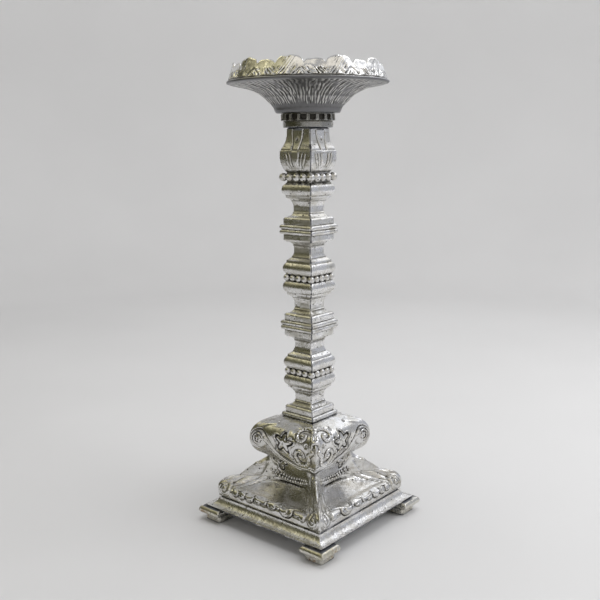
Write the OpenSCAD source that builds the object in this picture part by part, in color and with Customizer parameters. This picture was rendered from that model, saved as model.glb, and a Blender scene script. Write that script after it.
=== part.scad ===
// Table candlestick with a square moulded stem, a scrolled block, a cushion base on a footed plinth
// and a round drip dish that lifts off over its pricket spike.
// The stack stands on Z = 0 with its tie rod on the Z axis. Sides of the plinth run along X and Y.

/* [Overall] */
// Height of one standard stem section
section_h = 63.6; // [60:0.2:68]
// Height of the upper stem section with the knop
upper_h = 64.8; // [64.8:0.2:68]
// Height of the scroll block above its foot
block_h = 43.7; // [43.7:0.1:46]

/* [Feet and plinth] */
// Half width over the foot slabs
foot_half = 55; // [53:0.5:57]
// Length of each foot along the sides
foot_len = 19; // [16:0.5:22]
// Height of the lower foot pad
pad_h = 4.6; // [4:0.1:6]
// Height of the upper foot slab
slab_h = 5.1; // [4.5:0.1:6]
// Set back of the pad from the slab
pad_set_back = 3.5; // [2:0.1:4]
// Half width of the plinth at its lower edge
plinth_half = 51.2; // [50:0.1:52.5]
// Height of the plinth
plinth_h = 6.3; // [6:0.1:8]
// Depth of the recess under the plinth
plinth_recess = 2.8; // [2:0.1:3.2]

/* [Cushion base] */
// Half width of the cushion at its lower band
cushion_half = 44.6; // [43:0.1:44.8]
// Height of the cushion to its flat top
cushion_h = 13; // [12.5:0.1:14]
// Wall of the hollow cushion
cushion_wall = 3.2; // [2.5:0.1:3.6]
// Height of the diagonal ridges above the flat top
ridge_h = 2; // [1:0.1:3]
// Width of the diagonal ridges
ridge_w = 9; // [7:0.5:11]
// Radius of the corner volutes
volute_r = 6.6; // [5:0.1:6.8]
// Distance of the corner volutes from the middle
volute_d = 57.6; // [56:0.1:58]

/* [Scroll block] */
// Radius of the four corner scrolls
scroll_r = 11.8; // [10:0.1:12]
// Distance of the scroll centres from the middle
scroll_d = 30; // [28:0.2:31]
// Height of the scroll centres above the foot of the block
scroll_up = 29; // [28:0.2:30]
// Width of each scroll
scroll_w = 15; // [12:0.5:17]
// Radius of the cored hollow in the block
block_core_r = 12; // [9:0.5:13]

/* [Stem] */
// Half width over the roll mouldings
roll_half = 13.9; // [13.4:0.1:14.4]
// Half width of the square steps
step_half = 12; // [11.6:0.1:12.3]
// Half width of the necks
neck_half = 7.2; // [6.8:0.1:7.6]
// Radius of the beads on the standard sections
bead_r = 2.5; // [2.2:0.05:2.55]
// Radius of the beads under the knop
knop_bead_r = 2.8; // [2.5:0.05:2.85]
// Half width of the knop
knop_half = 13.3; // [13:0.1:13.8]

/* [Collar and dish] */
// Radius of the plain band of the collar
collar_r = 16; // [15:0.1:16.5]
// Radius of the arcaded band of the collar
gallery_r = 17.1; // [16.6:0.1:18]
// Number of arches round the collar
arch_count = 18; // [12:1:22]
// Radius of the dish at its foot
dish_foot_r = 20.4; // [19.5:0.1:21]
// Radius of the dish at its rim edge
dish_rim_r = 51.5; // [50:0.5:53]
// Height of the dish
dish_h = 31.3; // [31:0.1:33]
// Wall of the dish
dish_wall = 2.4; // [2:0.1:2.8]
// How far the ruffled border leans in
border_lean = 5.5; // [4:0.5:7]

/* [Fixings] */
// Radius of the threaded tie rod
rod_r = 3; // [2.5:0.25:3.25]
// Radius of the cored hole up the stem
core_r = 4; // [3.8:0.1:4.4]
// Length of the pricket spike above its flange
spike_h = 24; // [18:0.5:26]
// Radius of the foot screws
screw_r = 1.6; // [1.5:0.05:1.7]

/* [Hidden] */

fit = 0.05;            // radial clearance where a shaft fills a hole
arc_steps = 8;         // straight pieces in each rounded stretch of a moulding

foot_h = pad_h + slab_h;
cushion_z = foot_h + plinth_h;
block_z = cushion_z + cushion_h;
lower_z = block_z + block_h;
middle_z = lower_z + section_h;
upper_z = middle_z + section_h;
collar_z = upper_z + upper_h;

foot_mid = foot_half - foot_len / 2 - 2.5;
screw_head_r = 3;
screw_head_h = 1.8;
screw_sink = 0.8;      // how far the screw heads sit above the ground
screw_len = 11.6;

volute_w = 12;
volute_half = 46.5;    // half width over the corner volutes
cushion_foot_half = step_half + 7.6;   // half width of the flat top that the block stands on

spigot_r = 5.5;        // register between two stem sections
spigot_h = 1.6;
roll_h = 3.2;          // one roll moulding
step_top = 7.6;        // top of the square step above the joint
neck_up = 15.2;        // middle of the neck above the joint
lower_cove_r = 6.5;
upper_cove_r = 7.4;
bulge_r = 5;
bulge_up = 26.3;
bulge_half = 12.7;
channel_half = 9.6;    // half width of the channel that the beads sit in
channel_up = 29.3;     // lower edge of the bead channel above the joint
bead_gap = 0.1;
beads_per_side = 4;

knop_channel_half = 10.2;
knop_channel_up = 30.6;
knop_foot_up = 36.8;
knop_belly_up = 46.4;
knop_belly_r = 17.5;
knop_crease_up = 50.3;
knop_flare_r = 23.3;
knop_top_half = 10;
knop_chamfer = 0.8;

collar_band_h = 4.1;
gallery_h = 4.9;
collar_top_z = collar_z + collar_band_h + gallery_h;
dish_spigot_r = 11.9;
dish_spigot_h = 3.2;
dish_fit = 0.1;        // radial clearance of the loose dish on its spigot
dish_floor = 3.5;      // thickness of the dish floor
flange_r = 9;
flange_h = 2;
spike_base_r = 5.5;
spike_tip_r = 0.6;

washer_r = 12;
washer_h = 1.5;
lock_r = 5.2;
lock_h = 1.6;
nut_flats = 10;
nut_h = 5;
rod_below_nut = 1.8;
web_z = foot_h + plinth_recess;
rod_z = web_z - washer_h - lock_h - nut_h - rod_below_nut;
rod_top_z = collar_top_z + dish_spigot_h + flange_h + 9;

// Points on a circle from angle a0 to a1, for a moulding drawn as [half width, height].
function arc(cx, cz, r, a0, a1) =
    [for (i = [0 : arc_steps]) let (a = a0 + (a1 - a0) * i / arc_steps) [cx + r * cos(a), cz + r * sin(a)]];

// Height on the lower half of a section turned over, so it reads down from the top joint.
function upside_down(points, top) = [for (i = [len(points) - 1 : -1 : 0]) [points[i][0], top - points[i][1]]];

// The outline of half a standard section: roll, step, neck, bulge, edge of the bead channel.
function half_section() = concat(
    [[roll_half - roll_h / 2, 0]],
    arc(roll_half - roll_h / 2, roll_h / 2, roll_h / 2, -90, 90),
    [[step_half, roll_h], [step_half, step_top], [step_half - 0.6, neck_up - 6.1]],
    arc(neck_half + lower_cove_r, neck_up, lower_cove_r, 248, 180),
    arc(neck_half + upper_cove_r, neck_up, upper_cove_r, 176, 122),
    arc(bulge_half - bulge_r, bulge_up, bulge_r, -53, 37));

// A square solid with mitred corners: the outline is run along X and along Y, and the two are crossed.
module mitred(points, reach) {
    outline = concat(points, [for (i = [len(points) - 1 : -1 : 0]) [-points[i][0], points[i][1]]]);
    intersection() {
        translate([0, reach, 0]) rotate([90, 0, 0]) linear_extrude(2 * reach) polygon(outline);
        translate([-reach, 0, 0]) rotate([90, 0, 90]) linear_extrude(2 * reach) polygon(outline);
    }
}

// A ring of round beads standing on the four sides of a square.
module bead_square(r, up) {
    side = beads_per_side * (2 * r + bead_gap);
    for (turn = [0 : 3], i = [0 : beads_per_side - 1])
        rotate([0, 0, 90 * turn])
            translate([side / 2 - i * side / beads_per_side, side / 2, up]) sphere(r, $fn = 32);
}

// The cored hole, and below it the socket that takes the spigot of the piece underneath.
module stem_bore(h, socket = true) {
    translate([0, 0, -1]) cylinder(h + spigot_h + 2, r = core_r, $fn = 64);
    if (socket) translate([0, 0, -1]) cylinder(spigot_h + 1.2, r = spigot_r + fit, $fn = 64);
}

module spigot(h) {
    translate([0, 0, h]) cylinder(spigot_h, r = spigot_r, $fn = 64);
}

// One of two matching castings: two half sections mirrored about a ring of beads.
module stem_section() {
    half = half_section();
    difference() {
        union() {
            mitred(concat(half, [[channel_half, channel_up], [channel_half, section_h - channel_up]],
                          upside_down(half, section_h)), roll_half + 1);
            bead_square(bead_r, section_h / 2);
            spigot(section_h);
        }
        stem_bore(section_h);
    }
}

module lower_stem_section() {
    color("silver") translate([0, 0, lower_z]) stem_section();
}

module middle_stem_section() {
    color("lightgray") translate([0, 0, middle_z]) stem_section();
}

// Half a standard section with a larger ring of beads and a waisted knop above it.
module upper_stem_section() {
    belly = arc(knop_half - knop_belly_r, knop_belly_up, knop_belly_r, -33, 0);
    flare = arc(knop_top_half + knop_flare_r, upper_h - 3, knop_flare_r, 209.5, 180);
    points = concat(half_section(),
        [[knop_channel_half, knop_channel_up], [knop_channel_half, knop_foot_up]], belly,
        [[knop_half, knop_crease_up]], flare,
        [[knop_top_half, upper_h - knop_chamfer], [knop_top_half - knop_chamfer, upper_h]]);
    color("silver") translate([0, 0, upper_z]) difference() {
        union() {
            mitred(points, roll_half + 1);
            bead_square(knop_bead_r, (knop_channel_up + knop_foot_up) / 2);
            spigot(upper_h);
        }
        stem_bore(upper_h);
    }
}

// A bracket foot in the corner given by the signs of sx and sy: a round-edged slab on a smaller pad.
module bracket_foot(sx, sy) {
    nose = slab_h / 2;
    inner = foot_half - foot_len;
    pad_out = foot_half - pad_set_back;
    pad_in = inner + pad_set_back / 2;
    clip = 3;
    slab = concat([[foot_half - nose, 0]], arc(foot_half - nose, nose, nose, -90, 90));
    rotate([0, 0, sx > 0 ? (sy > 0 ? 0 : -90) : (sy > 0 ? 90 : 180)]) difference() {
        union() {
            intersection() {
                translate([0, 0, pad_h]) mitred(slab, foot_half + 1);
                translate([inner, inner, 0]) cube([foot_len + 1, foot_len + 1, foot_h + 1]);
            }
            linear_extrude(pad_h) polygon([[pad_out, pad_out], [pad_in + clip, pad_out],
                [pad_in, pad_out - clip], [pad_in, pad_in], [pad_out - clip, pad_in],
                [pad_out, pad_in + clip]]);
        }
        translate([foot_mid, foot_mid, -1]) cylinder(foot_h + 2, r = screw_r + fit, $fn = 48);
        translate([foot_mid, foot_mid, -1])
            cylinder(screw_sink + screw_head_h + 1, r = screw_head_r + fit, $fn = 48);
    }
}

module foot_front_left() { color("gainsboro") bracket_foot(-1, -1); }
module foot_front_right() { color("gainsboro") bracket_foot(1, -1); }
module foot_back_left() { color("gainsboro") bracket_foot(-1, 1); }
module foot_back_right() { color("gainsboro") bracket_foot(1, 1); }

// Four matching screws, one up through each foot into the plinth.
module foot_screws() {
    color("goldenrod") for (x = [-foot_mid, foot_mid], y = [-foot_mid, foot_mid])
        translate([x, y, screw_sink]) difference() {
            union() {
                cylinder(screw_head_h, r = screw_head_r, $fn = 48);
                cylinder(screw_len, r = screw_r, $fn = 48);
            }
            translate([-screw_head_r, -0.4, -1]) cube([2 * screw_head_r, 0.8, 1.8]);
        }
}

// Moulded square plate with a hollow cove round it and a shallow recess below.
module plinth() {
    cove_r = plinth_half - cushion_half;
    lip = 0.9;
    points = concat([[plinth_half, 0], [plinth_half, lip]],
        [for (i = [0 : arc_steps]) let (a = 90 * i / arc_steps)
            [plinth_half - cove_r * 0.95 * sin(a), lip + (plinth_h - lip - 0.4) * (1 - cos(a))]],
        [[cushion_half - 0.6, plinth_h]]);
    recess = foot_half - foot_len - 0.5;
    color("lightgray") translate([0, 0, foot_h]) difference() {
        mitred(points, plinth_half + 1);
        translate([-recess, -recess, -1]) cube([2 * recess, 2 * recess, plinth_recess + 1]);
        translate([0, 0, -1]) cylinder(plinth_h + 2, r = rod_r + 0.3, $fn = 64);
        for (x = [-foot_mid, foot_mid], y = [-foot_mid, foot_mid]) translate([x, y, -1])
            cylinder(screw_sink + screw_len - foot_h + 1.2, r = screw_r + fit, $fn = 48);
    }
}

// A flat rib standing on each diagonal, drawn as [distance from the middle, height].
module on_diagonals(width) {
    for (turn = [0 : 3]) rotate([0, 0, 45 + 90 * turn])
        translate([0, width / 2, 0]) rotate([90, 0, 0]) linear_extrude(width) children();
}

// Hollow square cushion, low in the middle of its sides, with a ridge and a volute on each diagonal.
module cushion_base() {
    ridge_top = cushion_h + ridge_h;
    outer = [[cushion_half - 0.6, 0], [cushion_half, 0.8], [cushion_half, 4.5], [cushion_half - 1.2, 6.8],
             [cushion_half - 4.6, 8.6], [cushion_half - 12, 10.6], [cushion_foot_half, cushion_h]];
    inner = [[cushion_half - cushion_wall, -1], [cushion_half - cushion_wall, 4.2],
             [cushion_half - 6.6, 5.6], [cushion_foot_half, cushion_h - cushion_wall]];
    color("silver") translate([0, 0, cushion_z]) difference() {
        union() {
            mitred(outer, cushion_half + 1);
            difference() {
                on_diagonals(ridge_w) polygon([[24, 6], [24, ridge_top], [50, ridge_top],
                    [volute_d, ridge_top - 1.4], [volute_d, 0.8], [40, 6]]);
                translate([-cushion_foot_half, -cushion_foot_half, cushion_h])
                    cube([2 * cushion_foot_half, 2 * cushion_foot_half, ridge_h + 1]);
            }
            intersection() {
                on_diagonals(volute_w) translate([volute_d, volute_r + 0.4]) circle(volute_r, $fn = 48);
                translate([-volute_half, -volute_half, 0]) cube([2 * volute_half, 2 * volute_half, ridge_top]);
            }
        }
        mitred(inner, cushion_half + 1);
        cylinder(cushion_h + 1, r = core_r, $fn = 64);
    }
}

// Waisted block with a domed top, a scroll at each corner and a leg down each diagonal.
module scroll_block() {
    body = [[19.5, 0], [19.5, 1.5], [18.5, 5], [19.2, 10], [21.5, 13.5], [24.5, 18], [27, 24],
            [28, 30], [27.5, 35], [25, 39], [20, 41.6], [roll_half - 0.6, block_h]];
    leg = [[20, ridge_h], [49, ridge_h], [48, 3.4], [44.7, 6], [40.6, 8.8], [36, 11.5], [29.7, 14.2],
           [28.4, 16], [29.4, 20], [24, 26], [20, 26]];
    color("lightgray") translate([0, 0, block_z]) difference() {
        union() {
            mitred(body, 30);
            on_diagonals(ridge_w - 1) polygon(leg);
            on_diagonals(scroll_w) translate([scroll_d, scroll_up]) circle(scroll_r, $fn = 64);
            spigot(block_h);
        }
        translate([0, 0, -1]) cylinder(block_h - 10, r = block_core_r, $fn = 64);
        stem_bore(block_h, false);
    }
}

// Turned collar: a plain band, an arcaded band above it and a spigot for the dish.
module candle_collar() {
    arch_w = 2 * PI * gallery_r / arch_count * 0.6;
    color("gray") difference() {
        translate([0, 0, collar_z]) union() {
            cylinder(collar_band_h, r = collar_r, $fn = 96);
            translate([0, 0, collar_band_h]) cylinder(gallery_h, r = gallery_r, $fn = 96);
            translate([0, 0, collar_band_h + gallery_h]) cylinder(dish_spigot_h, r = dish_spigot_r, $fn = 96);
        }
        for (i = [0 : arch_count - 1]) rotate([0, 0, i * 360 / arch_count])
            translate([gallery_r - 1, -arch_w / 2, collar_z + collar_band_h + 1])
                cube([2, arch_w, gallery_h - 1.8]);
        translate([0, 0, collar_z]) stem_bore(collar_band_h + gallery_h + dish_spigot_h);
    }
}

// Trumpet dish with an in-leaning border, open above, with a hole in its floor for the spigot.
module drip_dish() {
    edge_z = 19;                                  // height of the widest edge
    flare = dish_rim_r - dish_foot_r - 0.8;
    outer = [for (i = [0 : 2 * arc_steps]) let (a = 90 * i / (2 * arc_steps))
        [dish_foot_r + 0.8 + flare * (1 - cos(a)), 1 + (edge_z - 2.2) * pow(sin(a), 0.9)]];
    inner_flare = flare - dish_wall - 0.6;
    inner = [for (i = [2 * arc_steps : -1 : 0]) let (a = 90 * i / (2 * arc_steps))
        [dish_foot_r - 2.6 + inner_flare * (1 - cos(a)), dish_floor + (edge_z - dish_floor - 0.4) * sin(a)]];
    color("dimgray") translate([0, 0, collar_top_z]) rotate_extrude($fn = 128) polygon(concat(
        [[dish_spigot_r + dish_fit, 0], [dish_foot_r, 0]], outer,
        [[dish_rim_r, edge_z - 0.4], [dish_rim_r - 0.5, edge_z + 0.8], [dish_rim_r - border_lean, dish_h],
         [dish_rim_r - border_lean - dish_wall + 0.6, dish_h]], inner,
        [[dish_spigot_r + dish_fit, dish_floor]]));
}

// Pointed spike with a round flange, threaded on the top of the tie rod.
module pricket_spike() {
    color("darkgray") translate([0, 0, collar_top_z + dish_spigot_h]) difference() {
        rotate_extrude($fn = 64) polygon([[0, 0], [flange_r, 0], [flange_r, flange_h - 0.5],
            [flange_r - 0.5, flange_h], [spike_base_r, flange_h], [spike_tip_r, flange_h + spike_h],
            [0, flange_h + spike_h]]);
        translate([0, 0, -1]) cylinder(flange_h + 10, r = rod_r + fit, $fn = 48);
    }
}

module tie_rod() {
    color("slategray") translate([0, 0, rod_z]) cylinder(rod_top_z - rod_z, r = rod_r, $fn = 48);
}

module clamp_washer() {
    color("darkgray") translate([0, 0, web_z - washer_h]) difference() {
        cylinder(washer_h, r = washer_r, $fn = 64);
        translate([0, 0, -1]) cylinder(washer_h + 2, r = rod_r + 0.2, $fn = 48);
    }
}

module lock_washer() {
    color("gray") translate([0, 0, web_z - washer_h - lock_h]) difference() {
        cylinder(lock_h, r = lock_r, $fn = 48);
        translate([0, 0, -1]) cylinder(lock_h + 2, r = rod_r + 0.1, $fn = 48);
        translate([0, -0.4, -1]) cube([lock_r + 1, 0.8, lock_h + 2]);
    }
}

module clamp_nut() {
    color("darkgray") translate([0, 0, web_z - washer_h - lock_h - nut_h]) difference() {
        cylinder(nut_h, r = nut_flats / 2 / cos(30), $fn = 6);
        translate([0, 0, -1]) cylinder(nut_h + 2, r = rod_r + fit, $fn = 48);
    }
}

foot_front_left();
foot_front_right();
foot_back_left();
foot_back_right();
foot_screws();
plinth();
cushion_base();
scroll_block();
lower_stem_section();
middle_stem_section();
upper_stem_section();
candle_collar();
drip_dish();
pricket_spike();
tie_rod();
clamp_washer();
lock_washer();
clamp_nut();
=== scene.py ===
# Square moulded candlestick with a scrolled block, a cushion base and a ruffled drip dish.
# Shapes are worked out in millimetres on the CAD levels and put into the meshes in metres.
import bpy
import numpy as np
from mathutils import Matrix, Vector


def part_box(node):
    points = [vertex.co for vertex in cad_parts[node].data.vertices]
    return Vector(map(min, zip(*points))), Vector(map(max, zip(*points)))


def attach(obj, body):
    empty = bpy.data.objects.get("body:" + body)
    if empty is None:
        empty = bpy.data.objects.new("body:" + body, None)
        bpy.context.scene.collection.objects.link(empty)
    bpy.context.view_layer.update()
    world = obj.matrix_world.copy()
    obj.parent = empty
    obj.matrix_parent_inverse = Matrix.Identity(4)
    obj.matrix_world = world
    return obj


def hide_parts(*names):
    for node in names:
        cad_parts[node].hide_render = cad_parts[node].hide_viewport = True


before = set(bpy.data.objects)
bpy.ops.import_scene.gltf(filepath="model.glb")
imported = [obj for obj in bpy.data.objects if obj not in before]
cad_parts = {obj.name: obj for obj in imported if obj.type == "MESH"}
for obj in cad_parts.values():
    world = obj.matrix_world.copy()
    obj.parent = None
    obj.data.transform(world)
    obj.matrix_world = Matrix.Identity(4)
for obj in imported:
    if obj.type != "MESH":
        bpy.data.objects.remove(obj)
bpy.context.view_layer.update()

mm = 0.001
rng = np.random.default_rng(11)


def span(node):
    # lowest and highest corner of a CAD node, in millimetres
    low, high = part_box(node)
    return np.array(low) / mm, np.array(high) / mm


footTop = span("foot_front_left")[1][2]
cushionFoot = span("cushion_base")[0][2]
blockFoot = cushionFoot + 13
lowerFoot = span("lower_stem_section")[0][2]
middleFoot = span("middle_stem_section")[0][2]
upperFoot = span("upper_stem_section")[0][2]
collarFoot = span("candle_collar")[0][2]
dishFoot = span("drip_dish")[0][2]
coreRadius = 4.0         # of the cored hole for the tie rod
coreEase = 0.4           # its eased ends

# camera

cameraLook = {
    "azimuth": 39.93,      # degrees round from the front
    "away": 0.5324,        # metres from the stem's axis
    "height": 0.2544,
    "down": 10.84,         # degrees below level
    "aside": -0.657,       # degrees off the axis
    "roll": -0.5,
    "lens": 48.88,
}


def linked(name, data):
    # a new object in the scene
    made = bpy.data.objects.new(name, data)
    bpy.context.scene.collection.objects.link(made)
    return made


def makeCamera(look):
    # forward = level direction to the axis turned aside and then tipped down; the frame rolls about it
    turn, aside, down, roll = np.radians([look["azimuth"], look["aside"], look["down"], look["roll"]])
    level = np.array([np.cos(turn), np.sin(turn), 0])
    inward = np.array([-np.sin(turn), np.cos(turn), 0])
    ahead = np.sin(aside) * level + np.cos(aside) * inward
    right = np.cos(aside) * level - np.sin(aside) * inward
    forward = np.cos(down) * ahead - np.sin(down) * np.array([0, 0, 1])
    up = np.cross(right, forward)
    across = np.cos(roll) * right + np.sin(roll) * up
    upward = np.cos(roll) * up - np.sin(roll) * right
    place = -inward * look["away"] + np.array([0, 0, look["height"]])
    matrix = Matrix(np.column_stack([across, upward, -forward]).tolist()).to_4x4()
    matrix.translation = Vector(place)
    camera = linked("camera", bpy.data.cameras.new("camera"))
    camera.data.lens = look["lens"]
    camera.data.sensor_width = 36
    camera.data.clip_start = 0.01
    camera.matrix_world = matrix
    bpy.context.scene.camera = camera
    return level, inward


cameraRight, cameraInward = makeCamera(cameraLook)
print("camera made")


# shapes as whole arrays

def smooth(value, low, high):
    # 0 at low and 1 at high, an S-curve between
    share = np.clip((value - low) / (high - low), 0, 1)
    return share * share * (3 - 2 * share)


def within(value, full, edge):
    # 1 up to full and 0 from edge on
    return 1 - smooth(value, full, edge)


def between(value, low, lowFull, highFull, high):
    # 1 from lowFull to highFull, and 0 below low and above high
    return smooth(value, low, lowFull) * within(value, highFull, high)


def roundRidge(distance, halfWidth):
    # a ridge's height over its half width: half an ellipse
    return np.sqrt(np.clip(1 - (distance / halfWidth) ** 2, 0, 1))


def cornerNumber(spot, seed):
    # a fixed number from 0 to 1 for each corner of a lattice
    wave = np.sin(spot @ np.array([127.1, 311.7, 74.7]) + seed * 19.19) * 43758.5453
    return wave - np.floor(wave)


def noise(points, size, seed, upright=1.0):
    # a smooth random field from -1 to 1: the eight corners of each lattice cell, blended by cubic weights;
    # an upright share below 1 draws its patches out in height
    place = points * np.array([1, 1, upright]) / size
    cell = np.floor(place)
    part = place - cell
    part = part * part * (3 - 2 * part)
    total = 0
    for corner in range(8):
        side = np.array([corner & 1, corner >> 1 & 1, corner >> 2 & 1])
        total = total + np.prod(np.where(side, part, 1 - part), axis=-1) * cornerNumber(cell + side, seed)
    return total * 2 - 1


def arc(across, up, radius, start, end, count=8):
    # points on a circle from one angle to another, in degrees
    angle = np.radians(np.linspace(start, end, count + 1))
    return np.stack([across + radius * np.cos(angle), up + radius * np.sin(angle)], -1)


def curve(points, steps=8):
    # a smooth curve through the points: on each stretch a cubic with its neighbours' slopes
    p = np.asarray(points, float)
    p = np.vstack([2 * p[0] - p[1], p, 2 * p[-1] - p[-2]])
    t = np.linspace(0, 1, steps, endpoint=False)[:, None]
    parts = [0.5 * (2 * b + (c - a) * t + (2 * a - 5 * b + 4 * c - d) * t**2
                    + (3 * b - a - 3 * c + d) * t**3)
             for a, b, c, d in zip(p[:-3], p[1:-2], p[2:-1], p[3:])]
    return np.vstack(parts + [p[-2:-1]])


def outline(*parts, step=0.5):
    # joins points and arcs to one outline, and cuts its stretches into even steps
    points = np.vstack([np.atleast_2d(np.asarray(part, float)) for part in parts])
    gaps = np.hypot(*np.diff(points, axis=0).T)
    points = points[np.r_[True, gaps > 1e-6]]
    gaps = gaps[gaps > 1e-6]
    cuts = np.ceil(gaps / step).astype(int)
    pieces = [a + (b - a) * np.arange(n)[:, None] / n for a, b, n in zip(points[:-1], points[1:], cuts)]
    return np.vstack(pieces + [points[-1:]])


def lineDistance(x, y, points):
    # distance from each place to a chain of points, and how far along the chain its nearest place is
    nearest = np.full(np.shape(x), 1e9)
    share = np.zeros(np.shape(x))
    for i, (a, b) in enumerate(zip(points[:-1], points[1:])):
        step = b - a
        t = np.clip(((x - a[0]) * step[0] + (y - a[1]) * step[1]) / (step @ step), 0, 1)
        distance = np.hypot(x - a[0] - t * step[0], y - a[1] - t * step[1])
        share = np.where(distance < nearest, (i + t) / (len(points) - 1), share)
        nearest = np.minimum(nearest, distance)
    return nearest, share


def spiral(x, y, outer, inner, start, turns, count=40):
    # a scroll line: the radius shrinks evenly from outer to inner while the angle turns
    t = np.linspace(0, 1, count)
    angle = np.radians(start + 360 * turns * t)
    radius = outer + (inner - outer) * t
    return np.stack([x + radius * np.cos(angle), y + radius * np.sin(angle)], -1)


def squareRing(sideCount, cornerCount=5, crowd=0.0):
    # places round a square, from the left end of the front face and counter-clockwise:
    # the direction to the corner centre, the outward normal, the place along the face and the face number;
    # crowd draws them closer towards the corners by a cubic
    toCentre, outward, along, face = [], [], [], []
    quarter = np.linspace(0, 1, cornerCount + 2)[1:-1] * np.pi / 2
    for k in range(4):
        normal = np.array([np.sin(k * np.pi / 2), -np.cos(k * np.pi / 2)])
        tangent = np.array([np.cos(k * np.pi / 2), np.sin(k * np.pi / 2)])
        t = np.linspace(-1, 1, sideCount)
        s = (1 + crowd) * t - crowd * t**3
        toCentre += [normal + s[:, None] * tangent, np.tile(normal + tangent, (cornerCount, 1))]
        outward += [np.tile(normal, (sideCount, 1)),
                    np.cos(quarter)[:, None] * normal + np.sin(quarter)[:, None] * tangent]
        along += [s, np.where(quarter < np.pi / 4, 1.0, -1.0)]
        face += [np.full(sideCount, k), np.where(quarter < np.pi / 4, k, (k + 1) % 4)]
    return {"toCentre": np.vstack(toCentre), "outward": np.vstack(outward),
            "along": np.concatenate(along), "face": np.concatenate(face)}


def squareGrid(ring, half, height, corner, centre=(0, 0)):
    # a square of each half width at each height with round corners: (half - corner) times the direction
    # to the corner centre, plus corner times the normal
    shape = (len(height), len(ring["along"]))
    half = np.broadcast_to(np.reshape(half, (len(height), -1)), shape)
    height = np.broadcast_to(np.reshape(height, (len(height), -1)), shape)
    bend = np.minimum(corner, half * 0.9)
    flat = (half - bend)[..., None] * ring["toCentre"] + bend[..., None] * ring["outward"]
    flat = flat + np.array(centre)
    return np.concatenate([flat, height[..., None]], -1)


def circleRows(ring, rows, centre=(0, 0)):
    # the same places round a square, brought onto circles given as radius and height
    direction = ring["toCentre"] / np.linalg.norm(ring["toCentre"], axis=1)[:, None]
    rows = np.atleast_2d(rows)
    flat = rows[:, 0, None, None] * direction + np.array(centre)
    return np.concatenate([flat, np.broadcast_to(rows[:, 1, None, None], flat.shape[:2] + (1,))], -1)


def coreRows(ring, top, foot):
    # the cored hole for the tie rod with its eased upper end
    return circleRows(ring, [(coreRadius + coreEase, top), (coreRadius, top - coreEase),
                             (coreRadius, foot)])


def turnedGrid(radius, height, angle):
    # a turned surface: each radius and height carried round the axis
    radius = np.broadcast_to(np.reshape(radius, (len(height), -1)), (len(height), len(angle)))
    height = np.broadcast_to(np.reshape(height, (len(height), -1)), radius.shape)
    return np.stack([radius * np.cos(angle), radius * np.sin(angle), height], -1)


def pushOut(grid, height, wrapRows=False):
    # moves each point along the surface normal, the cross product of the steps round and up the grid
    around = np.roll(grid, -1, 1) - np.roll(grid, 1, 1)
    if wrapRows:
        upward = np.roll(grid, -1, 0) - np.roll(grid, 1, 0)
    else:
        upward = np.gradient(grid, axis=0)
    normal = np.cross(around, upward)
    normal /= np.maximum(np.linalg.norm(normal, axis=-1, keepdims=True), 1e-9)
    return grid + normal * np.asarray(height)[..., None]


def closedShell(grid, wrapRows=False):
    # points, quads and triangles of one closed shell: columns meet round the side, and the end rows
    # close on a middle point or meet each other; it is turned over if its volume comes out negative
    rows, columns = grid.shape[:2]
    row = np.arange(rows if wrapRows else rows - 1)[:, None]
    column = np.arange(columns)[None, :]
    after, above = (column + 1) % columns, (row + 1) % rows
    quads = np.stack([row * columns + column, row * columns + after,
                      above * columns + after, above * columns + column], -1).reshape(-1, 4)
    points = grid.reshape(-1, 3)
    fans = np.zeros((0, 3), int)
    if not wrapRows:
        first, last = np.arange(columns), np.arange(columns) + (rows - 1) * columns
        bottom, top = len(points), len(points) + 1
        points = np.vstack([points, grid[0].mean(0), grid[-1].mean(0)])
        fans = np.vstack([np.stack([np.roll(first, -1), first, np.full(columns, bottom)], -1),
                          np.stack([last, np.roll(last, -1), np.full(columns, top)], -1)])
    triangles = np.vstack([quads[:, [0, 1, 2]], quads[:, [0, 2, 3]], fans])
    a, b, c = (points[triangles[:, i]] for i in range(3))
    if np.einsum("ij,ij->i", a, np.cross(b, c)).sum() < 0:
        quads, fans = quads[:, ::-1], fans[:, ::-1]
    return points, quads, fans


def placed(shell, turn):
    # the same shell turned about the upright axis
    c, s = np.cos(np.radians(turn)), np.sin(np.radians(turn))
    return (shell[0] @ np.array([[c, s, 0], [-s, c, 0], [0, 0, 1]]),) + tuple(shell[1:])


def beadShell(centre, radius, rows=9, columns=16, squash=1.0, outward=((0, -1),)):
    # a round bead on the front face: circles of radius sin(polar angle) at height cos(polar angle);
    # its own hollow value is painted shade on the side that it is cast on, where it meets the face
    polar = np.linspace(np.pi, 0, rows + 2)[1:-1]
    around = np.linspace(0, 2 * np.pi, columns, endpoint=False)
    grid = turnedGrid(radius * np.sin(polar), radius * squash * np.cos(polar), around)
    points, quads, fans = closedShell(grid)
    points[-2:] = [[0, 0, -radius * squash], [0, 0, radius * squash]]
    # painted shade: the bead's half towards the face it sits on gets a high hollow value, which darkens it
    # like the shadow in its crevice
    facing = (points[:, :2] @ np.array(outward).T).max(1) / radius
    sunk = 0.34 * within(facing, -0.15, 0.45)
    return points + np.array(centre), quads, fans, sunk


def hollowness(points, edges, normals, passes):
    # how far each point lies under its smoothed surroundings: the neighbours' mean, repeated, less
    # the point
    count = np.maximum(np.bincount(edges.ravel(), minlength=len(points)), 1)
    level = points
    for _ in range(passes):
        sums = [np.bincount(edges[:, 0], level[edges[:, 1], k], len(points))
                + np.bincount(edges[:, 1], level[edges[:, 0], k], len(points)) for k in range(3)]
        level = np.stack(sums, -1) / count[:, None]
    return ((level - points) * normals).sum(-1)


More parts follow.
